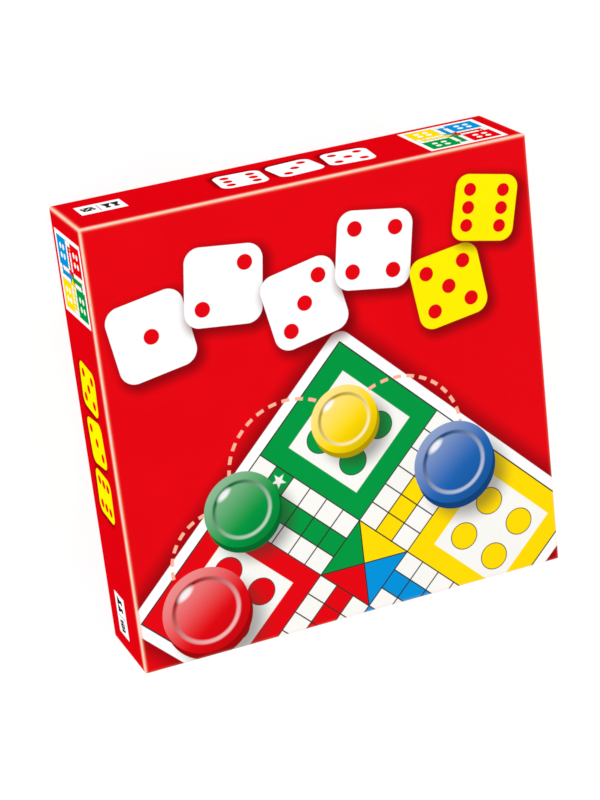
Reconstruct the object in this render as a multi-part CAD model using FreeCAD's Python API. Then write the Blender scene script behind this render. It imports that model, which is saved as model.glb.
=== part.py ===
# Ludo board game in a square lift-off-lid box.
# The box is two set-up shells of greyboard, each held at its corners by paper tape and covered
# by a paper wrap that turns in over the rim: a tray, and a lid that slides down over the tray
# to within a hair of the table. The tray's wrap also turns under its base, where a base sheet
# covers it. The tray holds a folded card insert with a trough along its middle. The trough holds
# sixteen pawns and a die, a one-piece playing board lies across the decks on both sides of it,
# and a folded rules leaflet lies on the playing board.
# Frame: millimetres, +Z up, +Y towards the top edge of the lid's print, origin on the table
# under the middle of the box, which lies flat with its lid on.
import FreeCAD
import Part
import math
import os

from FreeCAD import Vector

# Box
BOX_SIDE = 220.0  # outside width and length of the lid
BOX_DEPTH = 48.4  # table to the top of the lid
GREYBOARD = 1.5  # thickness of the board that both shells are folded from
SCORE_LINE = 0.05  # hairline between two panels, where the blank is scored and folded
WRAP_PAPER = 0.2  # thickness of the printed wrap
EDGE_RADIUS = 0.7  # outside radius of a wrapped edge
TURN_IN = 15.0  # height of wrap turned in over a rim
TURN_UNDER = 15.0  # width of wrap turned under the tray's base
BASE_SHEET_INSET = 3.0  # base sheet ends this far inside the tray's sides
LID_RIM_GAP = 0.8  # lid rim above the table
TELESCOPE_GAP = 0.6  # between lid and tray on each side

# Corner stays
STAY_TAPE = 0.12  # thickness of the paper tape
STAY_WIDTH = 12.0  # tape on each side of a corner
STAY_INSET = 4.0  # tape ends this far short of the shell's edges

# Card insert
INSERT_CARD = 0.5  # thickness of the card
INSERT_BEND = 0.5  # inside radius of a fold
INSERT_GAP = 0.5  # to the tray's lining on each side
TROUGH_WIDTH = 58.0  # inside width of the trough

# Playing board
PLAY_CORE = 1.8  # greyboard core
PLAY_PAPER = 0.15  # printed sheet and backing sheet
PLAY_EDGE_RADIUS = 0.6  # outside radius of the covered edges
PLAY_TURN_UNDER = 10.0  # printed sheet folded under the core
PLAY_GAP = 1.0  # to the tray's lining on each side

# Rules leaflet, a sheet folded three times
LEAFLET_WIDTH = 74.0
LEAFLET_LENGTH = 105.0
LEAFLET_THICKNESS = 0.9
LEAFLET_HEADROOM = 2.0  # from the leaflet to the lid's ceiling
LEAFLET_TURN = 8.0  # degrees, as it was dropped in
LEAFLET_PLACE_SHARES = (-0.13, 0.07)  # of the playing board's side, from its middle

# Pawns
PAWN_COLOURS = ("red", "green", "yellow", "blue")
PAWN_PLACES = ((-1, 1), (1, 1), (-1, -1), (1, -1))  # two by two in each colour's group
PAWN_HEIGHT = 25.5
PAWN_BASE_DIAMETER = 12.6
PAWN_HEAD_DIAMETER = 8.8
PAWN_NECK_DIAMETER = 5.4
PAWN_BASE_ROUNDING = 1.0
PAWN_NECK_ROUNDING = 1.2
PAWN_BELLY = 1.1  # how far the flank swells out of a straight cone
PAWN_SPACING = 3.4  # between neighbours in a group

# Die
DIE_SIDE = 14.0
DIE_ROUNDING = 1.6
PIP_DIAMETER = 2.6
PIP_DEPTH = 0.45
PIP_OFFSET_SHARE = 0.26  # of the die's side, from a face's middle to its outer pips
DIE_TURN = 20.0  # degrees, as it was dropped in

OVERRUN = 1.0  # how far a cutter reaches past what it cuts

# Levels and sides that follow from the sizes above
LID_BOARD_SIDE = BOX_SIDE - 2 * WRAP_PAPER
LID_CAVITY_SIDE = LID_BOARD_SIDE - 2 * GREYBOARD
LID_MOUTH_SIDE = LID_CAVITY_SIDE - 2 * WRAP_PAPER
LID_BOARD_TOP = BOX_DEPTH - WRAP_PAPER
LID_CEILING = LID_BOARD_TOP - GREYBOARD
TRAY_SIDE = LID_MOUTH_SIDE - 2 * TELESCOPE_GAP
TRAY_BOARD_SIDE = TRAY_SIDE - 2 * WRAP_PAPER
TRAY_CAVITY_SIDE = TRAY_BOARD_SIDE - 2 * GREYBOARD
TRAY_MOUTH_SIDE = TRAY_CAVITY_SIDE - 2 * WRAP_PAPER
TRAY_WRAP_BASE = WRAP_PAPER
TRAY_BOARD_BASE = TRAY_WRAP_BASE + WRAP_PAPER
TRAY_FLOOR = TRAY_BOARD_BASE + GREYBOARD
TRAY_RIM = LID_CEILING
PLAY_SIDE = TRAY_MOUTH_SIDE - 2 * PLAY_GAP
PLAY_TOP = LID_CEILING - LEAFLET_HEADROOM - LEAFLET_THICKNESS
PLAY_BOTTOM = PLAY_TOP - PLAY_CORE - 2 * PLAY_PAPER
INSERT_SIDE = TRAY_MOUTH_SIDE - 2 * INSERT_GAP
DECK = PLAY_BOTTOM
TROUGH_FLOOR = TRAY_FLOOR + INSERT_CARD
STATIONS = PAWN_COLOURS + ("die",)  # in this order along the trough, from +Y to -Y
STATION_PITCH = INSERT_SIDE / len(STATIONS)


def square_block(side, bottom, top):
    """Upright square block centred on the Z axis."""
    corner = Vector(-side / 2, -side / 2, bottom)
    return Part.makeBox(side, side, top - bottom, corner)


def softened_block(side, bottom, top, radius, closed_end=None):
    """Square block with rounded upright edges, and rounded edges round its closed end if it has one."""
    block = square_block(side, bottom, top)
    rounded = []
    for edge in block.Edges:
        first, last = (vertex.Point for vertex in edge.Vertexes)
        upright = not math.isclose(first.z, last.z)
        at_closed_end = closed_end is not None and math.isclose(edge.CenterOfMass.z, closed_end)
        if upright or at_closed_end:
            rounded.append(edge)
    return block.makeFillet(radius, rounded)


def square_ring(outer_side, inner_side, bottom, top):
    """Upright square ring centred on the Z axis."""
    return square_block(outer_side, bottom, top).cut(
        square_block(inner_side, bottom - OVERRUN, top + OVERRUN)
    )


def corner_stays(board_side, board_radius, bottom, top):
    """Four strips of tape, each bent round one upright corner and let into the board's surface."""
    skin = softened_block(board_side, bottom, top, board_radius).cut(
        softened_block(
            board_side - 2 * STAY_TAPE, bottom - OVERRUN, top + OVERRUN, board_radius - STAY_TAPE
        )
    )
    reach = STAY_WIDTH + OVERRUN
    strips = []
    for x_sign in (-1, 1):
        for y_sign in (-1, 1):
            middle = board_side / 2 - STAY_WIDTH + reach / 2
            corner = Vector(x_sign * middle - reach / 2, y_sign * middle - reach / 2, bottom)
            strips.append(skin.common(Part.makeBox(reach, reach, top - bottom, corner)))
    return Part.makeCompound([solid for strip in strips for solid in strip.Solids])


def scored_panels(shell, cavity_side, flat_bottom, flat_top):
    """The panels that one blank is scored into: its flat panel, two long walls and two walls between them."""
    reach = shell.BoundBox.XLength + 2 * OVERRUN
    height = shell.BoundBox.ZLength + 2 * OVERRUN
    flat_slab = square_block(reach, flat_bottom, flat_top)
    scored_slab = square_block(reach, flat_bottom - SCORE_LINE, flat_top + SCORE_LINE)
    between_slabs = []
    for width in (cavity_side, cavity_side - 2 * SCORE_LINE):
        corner = Vector(-width / 2, -reach / 2, shell.BoundBox.ZMin - OVERRUN)
        between_slabs.append(Part.makeBox(width, reach, height, corner))
    scored_between, between = between_slabs
    walls = shell.cut(scored_slab)
    panels = (shell.common(flat_slab), walls.cut(scored_between), walls.common(between))
    return Part.makeCompound([solid for panel in panels for solid in panel.Solids])


def lid_pieces():
    """Greyboard shell, corner stays and printed wrap of the lid, which opens downwards."""
    rim = LID_RIM_GAP
    board_rim = rim + WRAP_PAPER
    board_radius = EDGE_RADIUS - WRAP_PAPER
    board_block = softened_block(
        LID_BOARD_SIDE, board_rim, LID_BOARD_TOP, board_radius, LID_BOARD_TOP
    )
    stays = corner_stays(
        LID_BOARD_SIDE, board_radius, board_rim + STAY_INSET, LID_BOARD_TOP - STAY_INSET
    )
    cavity = square_block(LID_CAVITY_SIDE, rim, LID_CEILING)
    board = board_block.cut(cavity).cut(stays)
    board = scored_panels(board, LID_CAVITY_SIDE, LID_CEILING, BOX_DEPTH)

    wrap = softened_block(BOX_SIDE, rim, BOX_DEPTH, EDGE_RADIUS, BOX_DEPTH)
    wrap = wrap.cut(board_block)
    wrap = wrap.cut(square_block(LID_MOUTH_SIDE, rim - OVERRUN, board_rim))
    wrap = wrap.fuse(square_ring(LID_CAVITY_SIDE, LID_MOUTH_SIDE, rim, rim + TURN_IN))
    return {
        "lid_board": board,
        "lid_corner_stays": stays,
        "lid_wrap": wrap.removeSplitter(),
    }


def tray_pieces():
    """Greyboard shell, corner stays, wrap and base sheet of the tray, which opens upwards."""
    board_rim = TRAY_RIM - WRAP_PAPER
    board_radius = EDGE_RADIUS - WRAP_PAPER
    board_block = softened_block(
        TRAY_BOARD_SIDE, TRAY_BOARD_BASE, board_rim, board_radius, TRAY_BOARD_BASE
    )
    stays = corner_stays(
        TRAY_BOARD_SIDE, board_radius, TRAY_BOARD_BASE + STAY_INSET, board_rim - STAY_INSET
    )
    cavity = square_block(TRAY_CAVITY_SIDE, TRAY_FLOOR, TRAY_RIM)
    board = board_block.cut(cavity).cut(stays)
    board = scored_panels(board, TRAY_CAVITY_SIDE, 0, TRAY_FLOOR)

    base_sheet = square_block(TRAY_SIDE - 2 * BASE_SHEET_INSET, 0, TRAY_WRAP_BASE)

    wrap = softened_block(TRAY_SIDE, TRAY_WRAP_BASE, TRAY_RIM, EDGE_RADIUS, TRAY_WRAP_BASE)
    wrap = wrap.cut(board_block)
    wrap = wrap.cut(square_block(TRAY_MOUTH_SIDE, board_rim, TRAY_RIM + OVERRUN))
    wrap = wrap.cut(square_block(TRAY_SIDE - 2 * TURN_UNDER, 0, TRAY_BOARD_BASE))
    turn_in = square_ring(TRAY_CAVITY_SIDE, TRAY_MOUTH_SIDE, TRAY_RIM - TURN_IN, TRAY_RIM)
    wrap = wrap.fuse(turn_in)
    return {
        "tray_board": board,
        "tray_corner_stays": stays,
        "tray_wrap": wrap.removeSplitter(),
        "tray_base_sheet": base_sheet,
    }


def folded_edge(points, radii):
    """Edges along a path in the XZ plane whose inner corners are rounded to the given radii."""
    edges = []
    start = points[0]
    for before, corner, after, radius in zip(points, points[1:], points[2:], radii):
        back = (before - corner).normalize()
        ahead = (after - corner).normalize()
        setback = radius / math.tan(back.getAngle(ahead) / 2)
        middle = (back + ahead).normalize()
        arc_start = corner + back * setback
        arc_end = corner + ahead * setback
        to_centre = math.hypot(setback, radius)
        arc_middle = corner + middle * (to_centre - radius)
        edges.append(Part.LineSegment(start, arc_start).toShape())
        edges.append(Part.Arc(arc_start, arc_middle, arc_end).toShape())
        start = arc_end
    edges.append(Part.LineSegment(start, points[-1]).toShape())
    return edges


def folded_strip(path, thickness, bend):
    """Face of a strip that follows a path of right-angled folds in the XZ plane, path at mid thickness."""
    steps = [(b - a).normalize() for a, b in zip(path, path[1:])]
    normals = [Vector(-step.z, 0, step.x) for step in steps]
    turns = [a.z * b.x - a.x * b.z for a, b in zip(steps, steps[1:])]
    faces_out = [normals[0]] + [a + b for a, b in zip(normals, normals[1:])] + [normals[-1]]
    sides = []
    for side in (-1, 1):
        points = [p + n * (side * thickness / 2) for p, n in zip(path, faces_out)]
        radii = [bend if turn * side < 0 else bend + thickness for turn in turns]
        sides.append((points, folded_edge(points, radii)))
    (low_points, low_edges), (high_points, high_edges) = sides
    ends = [
        Part.LineSegment(low_points[0], high_points[0]).toShape(),
        Part.LineSegment(low_points[-1], high_points[-1]).toShape(),
    ]
    outline = Part.Wire(Part.__sortEdges__(low_edges + high_edges + ends))
    return Part.Face(outline)


def card_insert():
    """One piece of white card, folded into two decks with flanges at the walls and a trough between."""
    half_card = INSERT_CARD / 2
    flange_x = INSERT_SIDE / 2 - half_card
    trough_x = TROUGH_WIDTH / 2 + half_card
    deck_z = DECK - half_card
    floor_z = TRAY_FLOOR + half_card
    right_half = [
        Vector(trough_x, 0, floor_z),
        Vector(trough_x, 0, deck_z),
        Vector(flange_x, 0, deck_z),
        Vector(flange_x, 0, TRAY_FLOOR),
    ]
    left_half = [Vector(-point.x, 0, point.z) for point in reversed(right_half)]
    strip = folded_strip(left_half + right_half, INSERT_CARD, INSERT_BEND)
    strip.translate(Vector(0, -INSERT_SIDE / 2, 0))
    return {"card_insert": strip.extrude(Vector(0, INSERT_SIDE, 0))}


def playing_board():
    """Greyboard core, the printed sheet folded over its edges, and the backing sheet that fills the rest."""
    core_side = PLAY_SIDE - 2 * PLAY_PAPER
    core_bottom = PLAY_BOTTOM + PLAY_PAPER
    core_top = PLAY_TOP - PLAY_PAPER
    core_radius = PLAY_EDGE_RADIUS - PLAY_PAPER
    backing_side = PLAY_SIDE - 2 * PLAY_TURN_UNDER
    core = softened_block(core_side, core_bottom, core_top, core_radius, core_top)
    backing = square_block(backing_side, PLAY_BOTTOM, core_bottom)
    sheet = softened_block(PLAY_SIDE, PLAY_BOTTOM, PLAY_TOP, PLAY_EDGE_RADIUS, PLAY_TOP)
    sheet = sheet.cut(core).cut(backing)
    return {
        "playing_board_core": core,
        "playing_board_print": sheet,
        "playing_board_backing": backing,
    }


def rules_leaflet():
    """Folded sheet with its round main fold on the left, lying on the playing board."""
    half_width = LEAFLET_WIDTH / 2
    half_length = LEAFLET_LENGTH / 2
    fold_radius = LEAFLET_THICKNESS / 2
    fold_x = fold_radius - half_width
    bottom_fold = Vector(fold_x, -half_length, 0)
    bottom_open = Vector(half_width, -half_length, 0)
    top_open = Vector(half_width, -half_length, LEAFLET_THICKNESS)
    top_fold = Vector(fold_x, -half_length, LEAFLET_THICKNESS)
    fold_middle = Vector(-half_width, -half_length, fold_radius)
    outline = Part.Wire(
        [
            Part.LineSegment(bottom_fold, bottom_open).toShape(),
            Part.LineSegment(bottom_open, top_open).toShape(),
            Part.LineSegment(top_open, top_fold).toShape(),
            Part.Arc(top_fold, fold_middle, bottom_fold).toShape(),
        ]
    )
    leaflet = Part.Face(outline).extrude(Vector(0, LEAFLET_LENGTH, 0))
    x_share, y_share = LEAFLET_PLACE_SHARES
    leaflet.rotate(Vector(), Vector(0, 0, 1), LEAFLET_TURN)
    leaflet.translate(Vector(x_share * PLAY_SIDE, y_share * PLAY_SIDE, PLAY_TOP))
    return {"rules_leaflet": leaflet}


def pawn_at_origin():
    """Turned pawn: flat foot, bell-shaped body, narrow neck and a ball for a head."""
    foot = PAWN_BASE_DIAMETER / 2
    head = PAWN_HEAD_DIAMETER / 2
    neck = PAWN_NECK_DIAMETER / 2
    head_z = PAWN_HEIGHT - head
    neck_z = head_z - math.sqrt(head**2 - neck**2)
    rounding = PAWN_BASE_ROUNDING
    diagonal = rounding * math.sqrt(0.5)

    base_middle = Vector(0, 0, 0)
    base_rim = Vector(foot - rounding, 0, 0)
    rim_middle = Vector(foot - rounding + diagonal, 0, rounding - diagonal)
    flank_foot = Vector(foot, 0, rounding)
    flank_neck = Vector(neck, 0, neck_z)
    flank = flank_neck - flank_foot
    outward = Vector(flank.z, 0, -flank.x).normalize()
    flank_middle = (flank_foot + flank_neck) / 2 + outward * PAWN_BELLY
    head_side = Vector(head, 0, head_z)
    crown = Vector(0, 0, PAWN_HEIGHT)
    outline = Part.Wire(
        [
            Part.LineSegment(base_middle, base_rim).toShape(),
            Part.Arc(base_rim, rim_middle, flank_foot).toShape(),
            Part.Arc(flank_foot, flank_middle, flank_neck).toShape(),
            Part.Arc(flank_neck, head_side, crown).toShape(),
            Part.LineSegment(crown, base_middle).toShape(),
        ]
    )
    full_turn = 360
    pawn = Part.Face(outline).revolve(Vector(), Vector(0, 0, 1), full_turn)
    neck_edges = [
        edge
        for edge in pawn.Edges
        if edge.Closed and math.isclose(edge.CenterOfMass.z, neck_z, abs_tol=PAWN_BASE_ROUNDING / 2)
    ]
    return pawn.makeFillet(PAWN_NECK_ROUNDING, neck_edges)


def station_y(name):
    """Place along the trough of a colour's group or of the die."""
    middle = (len(STATIONS) - 1) / 2
    return (middle - STATIONS.index(name)) * STATION_PITCH


def pawns():
    """Sixteen pawns standing on the trough's floor, two by two in each colour."""
    model = pawn_at_origin()
    half_pitch = (PAWN_BASE_DIAMETER + PAWN_SPACING) / 2
    pieces = {}
    for colour in PAWN_COLOURS:
        for number, (x_sign, y_sign) in enumerate(PAWN_PLACES, start=1):
            pawn = model.copy()
            y = station_y(colour) + y_sign * half_pitch
            pawn.translate(Vector(x_sign * half_pitch, y, TROUGH_FLOOR))
            pieces[f"pawn_{colour}_{number}"] = pawn
    return pieces


def pip_places(count):
    """Places of a face's pips in steps of the pip offset."""
    middle = [(0, 0)]
    diagonal = [(-1, -1), (1, 1)]
    other_diagonal = [(-1, 1), (1, -1)]
    sides = [(-1, 0), (1, 0)]
    places = middle if count % 2 else []
    if count > 1:
        places = places + diagonal
    if count > 3:
        places = places + other_diagonal
    if count > 5:
        places = places + sides
    return places


def die():
    """Cube with rounded edges and a shallow round dimple for each pip; opposite faces add up to seven."""
    half = DIE_SIDE / 2
    cube = square_block(DIE_SIDE, -half, half)
    cube = cube.makeFillet(DIE_ROUNDING, cube.Edges)
    mouth = PIP_DIAMETER / 2
    ball_radius = (mouth**2 + PIP_DEPTH**2) / (2 * PIP_DEPTH)
    ball_height = half + ball_radius - PIP_DEPTH
    offset = PIP_OFFSET_SHARE * DIE_SIDE
    x_axis = Vector(1, 0, 0)
    y_axis = Vector(0, 1, 0)
    z_axis = Vector(0, 0, 1)
    faces = {
        1: (z_axis, x_axis, y_axis),
        6: (-z_axis, x_axis, y_axis),
        2: (-y_axis, x_axis, z_axis),
        5: (y_axis, x_axis, z_axis),
        3: (x_axis, y_axis, z_axis),
        4: (-x_axis, y_axis, z_axis),
    }
    for count, (outward, across, along) in faces.items():
        for u, v in pip_places(count):
            centre = outward * ball_height + across * (u * offset) + along * (v * offset)
            cube = cube.cut(Part.makeSphere(ball_radius, centre))
    cube.rotate(Vector(), z_axis, DIE_TURN)
    cube.translate(Vector(0, station_y("die"), TROUGH_FLOOR + half))
    return {"die": cube}


def main():
    os.makedirs("parts", exist_ok=True)
    pieces = {
        **tray_pieces(),
        **card_insert(),
        **pawns(),
        **die(),
        **playing_board(),
        **rules_leaflet(),
        **lid_pieces(),
    }
    for name, shape in pieces.items():
        shape.exportStep(os.path.join("parts", f"{name}.step"))
        print(f"{name}: {len(shape.Solids)} solid(s), valid {shape.isValid()}, {shape.Volume:.1f} mm3")


main()
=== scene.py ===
import math

import bmesh
import bpy
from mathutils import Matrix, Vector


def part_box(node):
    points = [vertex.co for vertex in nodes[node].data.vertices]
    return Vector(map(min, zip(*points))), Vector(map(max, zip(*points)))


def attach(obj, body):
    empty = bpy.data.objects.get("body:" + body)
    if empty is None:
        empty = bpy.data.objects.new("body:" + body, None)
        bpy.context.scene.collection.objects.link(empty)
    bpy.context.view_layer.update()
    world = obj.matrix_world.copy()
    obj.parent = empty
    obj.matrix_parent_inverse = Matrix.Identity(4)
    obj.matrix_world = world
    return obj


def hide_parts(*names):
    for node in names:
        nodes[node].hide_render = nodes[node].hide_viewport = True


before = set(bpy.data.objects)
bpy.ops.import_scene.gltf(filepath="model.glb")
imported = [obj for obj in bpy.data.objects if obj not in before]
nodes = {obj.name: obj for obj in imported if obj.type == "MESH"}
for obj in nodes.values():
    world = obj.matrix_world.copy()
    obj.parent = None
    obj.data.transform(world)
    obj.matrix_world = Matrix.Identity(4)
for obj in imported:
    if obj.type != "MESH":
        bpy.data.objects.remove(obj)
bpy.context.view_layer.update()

# Tray and lid shells: blanks of recycled greyboard, scored and folded into a panel with four walls.
# The pulp is mottled and full of short fibres, with a few dark flecks.
def ink(code):
    """Linear colour of a printer's hex code."""
    channels = [int(code[i : i + 2], 16) / 255 for i in (0, 2, 4)]
    linear = [c / 12.92 if c <= 0.04045 else ((c + 0.055) / 1.055) ** 2.4 for c in channels]
    return (*linear, 1.0)


def new_finish(name):
    """A new material with its node tree and its shader."""
    material = bpy.data.materials.new(name)
    material.use_nodes = True
    return material, material.node_tree, material.node_tree.nodes["Principled BSDF"]


def add(tree, kind, **settings):
    node = tree.nodes.new("ShaderNode" + kind)
    for name, value in settings.items():
        setattr(node, name, value)
    return node


def feed(tree, socket, value):
    """Links a socket to another node's result, or sets it to a plain value."""
    if isinstance(value, bpy.types.NodeSocket):
        tree.links.new(value, socket)
    else:
        socket.default_value = value


def calc(tree, operation, *values):
    node = add(tree, "Math", operation=operation)
    for socket, value in zip(node.inputs, values):
        feed(tree, socket, value)
    return node.outputs[0]


def spread(tree, value, low, high, at_low, at_high, curve="LINEAR"):
    """Takes a value from low to high to another pair of values, and holds it past them."""
    node = add(tree, "MapRange", interpolation_type=curve)
    for socket, number in zip(node.inputs, (value, low, high, at_low, at_high)):
        feed(tree, socket, number)
    return node.outputs[0]


def over(tree, under, upper, amount):
    """Lays one ink over another."""
    node = add(tree, "Mix", data_type="RGBA")
    feed(tree, node.inputs[0], amount)
    feed(tree, node.inputs[6], under)
    feed(tree, node.inputs[7], upper)
    return node.outputs[2]


def object_place(tree):
    return add(tree, "TexCoord").outputs["Object"]


def mottle(tree, place, scale, detail=3.0, stretch=None):
    """Noise with so many lumps to the metre."""
    if stretch:
        mapping = add(tree, "Mapping")
        mapping.inputs["Scale"].default_value = stretch
        tree.links.new(place, mapping.inputs["Vector"])
        place = mapping.outputs[0]
    node = add(tree, "TexNoise")
    node.inputs["Scale"].default_value = scale
    node.inputs["Detail"].default_value = detail
    tree.links.new(place, node.inputs["Vector"])
    return node.outputs["Fac"]


def raise_grain(tree, shader, height, strength, depth):
    bump = add(tree, "Bump")
    bump.inputs["Strength"].default_value = strength
    bump.inputs["Distance"].default_value = depth
    tree.links.new(height, bump.inputs["Height"])
    tree.links.new(bump.outputs[0], shader.inputs["Normal"])


def pulp_finish(name, pale, deep, fleck):
    material, tree, shader = new_finish(name)
    place = object_place(tree)
    cloud = spread(tree, mottle(tree, place, 160.0, 6.0), 0.25, 0.75, 0.25, 1.0)
    colour = over(tree, deep, pale, cloud)
    fibre = mottle(tree, place, 900.0, 5.0, stretch=(1.0, 0.35, 1.0))
    colour = over(tree, colour, deep, spread(tree, fibre, 0.5, 0.66, 0.0, 0.6))
    speck = mottle(tree, place, 1500.0, 1.0)
    colour = over(tree, colour, fleck, spread(tree, speck, 0.70, 0.74, 0.0, 0.7))
    tree.links.new(colour, shader.inputs["Base Color"])
    tree.links.new(spread(tree, fibre, 0.3, 0.7, 0.78, 0.92), shader.inputs["Roughness"])
    shader.inputs["Specular IOR Level"].default_value = 0.25
    raise_grain(tree, shader, fibre, 0.35, 0.00012)
    return material


def dress(node, material):
    """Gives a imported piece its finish."""
    nodes[node].material_slots[0].material = material


greyboard = pulp_finish("greyboard", ink("AAA294"), ink("978E81"), ink("5A5349"))
for node in ("tray_board", "lid_board", "playing_board_core"):
    dress(node, greyboard)

# Corner stays: strips of gummed kraft paper tape, brown and fibrous.
# They are pasted round each upright corner of both shells, to hold the folded walls together.
kraft_tape = pulp_finish("kraft_tape", ink("C8A26C"), ink("B59060"), ink("7A5A33"))
for node in ("tray_corner_stays", "lid_corner_stays"):
    dress(node, kraft_tape)

# Tray wrap: plain red paper glued round the walls, turned in over the rim and under the base.
# It is rubbed pale where the lid slides over its rim and its corners.
# The walls' red is the lid face's red made darker: painted shade, to offset the extra light the walls get
# from the lit floor.
SHADED_WALL_RED = ink("D9030F")
# Pale and orange inks of the edge bands: rubbed wear on the tray and board, and a painted highlight along the
# lid's left and back edges.
PALE_RUB_AND_HIGHLIGHT = ink("FAD4C2")
ORANGE_RUB_AND_HIGHLIGHT = ink("F06E32")


def paper_surface(tree, shader, colour, place, sheen=0.03, low=0.46, high=0.58):
    """Matt-coated printing paper: a print of slightly uneven density over a fine, faint fibre."""
    fibre = mottle(tree, place, 2600.0, 3.0)
    slow = mottle(tree, place, 35.0, 2.0)
    density = add(tree, "HueSaturation")
    tree.links.new(spread(tree, slow, 0.3, 0.7, 0.975, 1.015), density.inputs["Value"])
    feed(tree, density.inputs["Color"], colour)
    tree.links.new(density.outputs[0], shader.inputs["Base Color"])
    both = calc(tree, "MULTIPLY_ADD", fibre, 0.5, calc(tree, "MULTIPLY", slow, 0.5))
    tree.links.new(spread(tree, both, 0.3, 0.7, low, high), shader.inputs["Roughness"])
    shader.inputs["Specular IOR Level"].default_value = sheen
    raise_grain(tree, shader, fibre, 0.12, 0.00003)


def vector_calc(tree, operation, *values):
    node = add(tree, "VectorMath", operation=operation)
    for socket, value in zip(node.inputs, values):
        feed(tree, socket, value)
    scalar = operation in ("LENGTH", "DISTANCE", "DOT_PRODUCT")
    return node.outputs["Value"] if scalar else node.outputs["Vector"]


def rub_and_highlight_edges(tree, picture, place, bands):
    """Pale bands where two panels meet, an orange halo round a pale middle: faint bands are rubbed wear,
    full-strength ones a painted highlight.

    A band has the direction across its edge, the edge's level that way, the band's widths
    past and before it in millimetres, and its strength.
    """
    patchiness = spread(tree, mottle(tree, place, 160.0, 3.0), 0.3, 0.6, 0.9, 1.0)
    # Each band is a pale middle in an orange halo: rubbed wear where faint, a painted highlight where strong.
    for across, level, past, before, strength in bands:
        reach = vector_calc(tree, "DOT_PRODUCT", place, [1000 * c for c in across])
        reach = calc(tree, "SUBTRACT", reach, 1000 * level)
        reach = calc(tree, "MAXIMUM", calc(tree, "DIVIDE", reach, past), calc(tree, "DIVIDE", reach, -before))
        halo = spread(tree, reach, 0.4, 1.6, 0.45 * strength, 0.0, "SMOOTHSTEP")
        picture = over(tree, picture, ORANGE_RUB_AND_HIGHLIGHT, calc(tree, "MULTIPLY", halo, patchiness))
        pale = spread(tree, reach, 0.0, 1.05, 0.97 * strength, 0.0, "SMOOTHSTEP")
        picture = over(tree, picture, PALE_RUB_AND_HIGHLIGHT, calc(tree, "MULTIPLY", pale, patchiness))
    return picture


tray_low, tray_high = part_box("tray_wrap")
TRAY_RUBS = [((0, 0, 1), tray_high.z, 1.5, 1.8, 0.5)]
TRAY_RUBS += [(across, 0.0, 1.4, 1.4, 0.5) for across in ((1, 1, 0), (1, -1, 0))]
tray_paper, tree, shader = new_finish("tray_paper")
place = object_place(tree)
# The wrap's red is the darkened wall red, painted shade; its rim and corners get rubbed wear.
paper_surface(tree, shader, rub_and_highlight_edges(tree, SHADED_WALL_RED, place, TRAY_RUBS), place, 0.01, 0.55, 0.68)
dress("tray_wrap", tray_paper)

# Base sheet: a sheet of plain, uncoated white paper, scuffed from being slid about on tables.
# It is pasted under the tray, over the edges of the wrap that turn under there.
base_paper, tree, shader = new_finish("base_paper")
place = object_place(tree)
scuff = mottle(tree, place, 300.0, 6.0)
colour = over(tree, ink("F0EDE7"), ink("D8D3CA"), spread(tree, scuff, 0.5, 0.75, 0.0, 0.5))
paper_surface(tree, shader, colour, place, 0.2, 0.6, 0.7)
dress("tray_base_sheet", base_paper)

# Insert: one piece of white folding card, creased into two decks and a trough.
# The coating cracks a little along the creases, and the cut ends show the grey middle of the card.
HALF_CARD = 0.00025
TROUGH_WALL = 0.02925


def axes_of(tree, place):
    parts = add(tree, "SeparateXYZ")
    tree.links.new(place, parts.inputs[0])
    return parts.outputs


def apart(tree, one, other):
    """How far two values are from each other."""
    return calc(tree, "ABSOLUTE", calc(tree, "SUBTRACT", one, other))


insert_low, insert_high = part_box("card_insert")
insert_card, tree, shader = new_finish("insert_card")
place = object_place(tree)
x, y, z = axes_of(tree, place)
across = calc(tree, "ABSOLUTE", x)
to_flange = apart(tree, across, insert_high.x - HALF_CARD)
to_wall = calc(tree, "MINIMUM", apart(tree, across, TROUGH_WALL), to_flange)
to_deck = apart(tree, z, insert_high.z - HALF_CARD)
to_floor = apart(tree, z, insert_low.z + HALF_CARD)
crease = calc(tree, "ADD", calc(tree, "MINIMUM", to_deck, to_floor), to_wall)
crease = spread(tree, crease, 0.0006, 0.0016, 1.0, 0.0)
crack = spread(tree, mottle(tree, place, 500.0, 3.0), 0.35, 0.65, 0.25, 0.55)
cloud = spread(tree, mottle(tree, place, 70.0), 0.3, 0.7, 0.0, 1.0)
colour = over(tree, ink("F4F2ED"), ink("F0EDE7"), cloud)
colour = over(tree, colour, ink("CFCABF"), calc(tree, "MULTIPLY", crease, crack))
cut = spread(tree, calc(tree, "ABSOLUTE", y), insert_high.y - 0.00006, insert_high.y - 0.00003, 0.0, 1.0)
colour = over(tree, colour, ink("B3AA9B"), cut)
paper_surface(tree, shader, colour, place, 0.25, 0.5, 0.62)
dress("card_insert", insert_card)

# Pawns: four to a player, each player's in one colour, standing loose in the trough.
# They are moulded in glossy polystyrene, with the faint flow marks and unevenness of a cheap mould.
PLAYER_INKS = {"red": "D3141C", "green": "00813A", "yellow": "FFD400", "blue": "1266B4"}


def moulded_finish(name, colour_code, shade):
    material, tree, shader = new_finish(name)
    place = object_place(tree)
    flow = mottle(tree, place, 220.0, 2.0)
    base = ink(colour_code)
    darker = (*(c * shade for c in base[:3]), 1.0)
    colour = over(tree, base, darker, spread(tree, flow, 0.35, 0.75, 0.0, 0.7))
    tree.links.new(colour, shader.inputs["Base Color"])
    skin = mottle(tree, place, 1600.0, 3.0)
    tree.links.new(spread(tree, skin, 0.3, 0.7, 0.16, 0.26), shader.inputs["Roughness"])
    raise_grain(tree, shader, flow, 0.08, 0.0002)
    return material, tree, shader, place, colour


for player, code in PLAYER_INKS.items():
    moulded = moulded_finish("pawn_" + player, code, 0.8)[0]
    for number in range(1, 5):
        dress(f"pawn_{player}_{number}", moulded)

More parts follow.
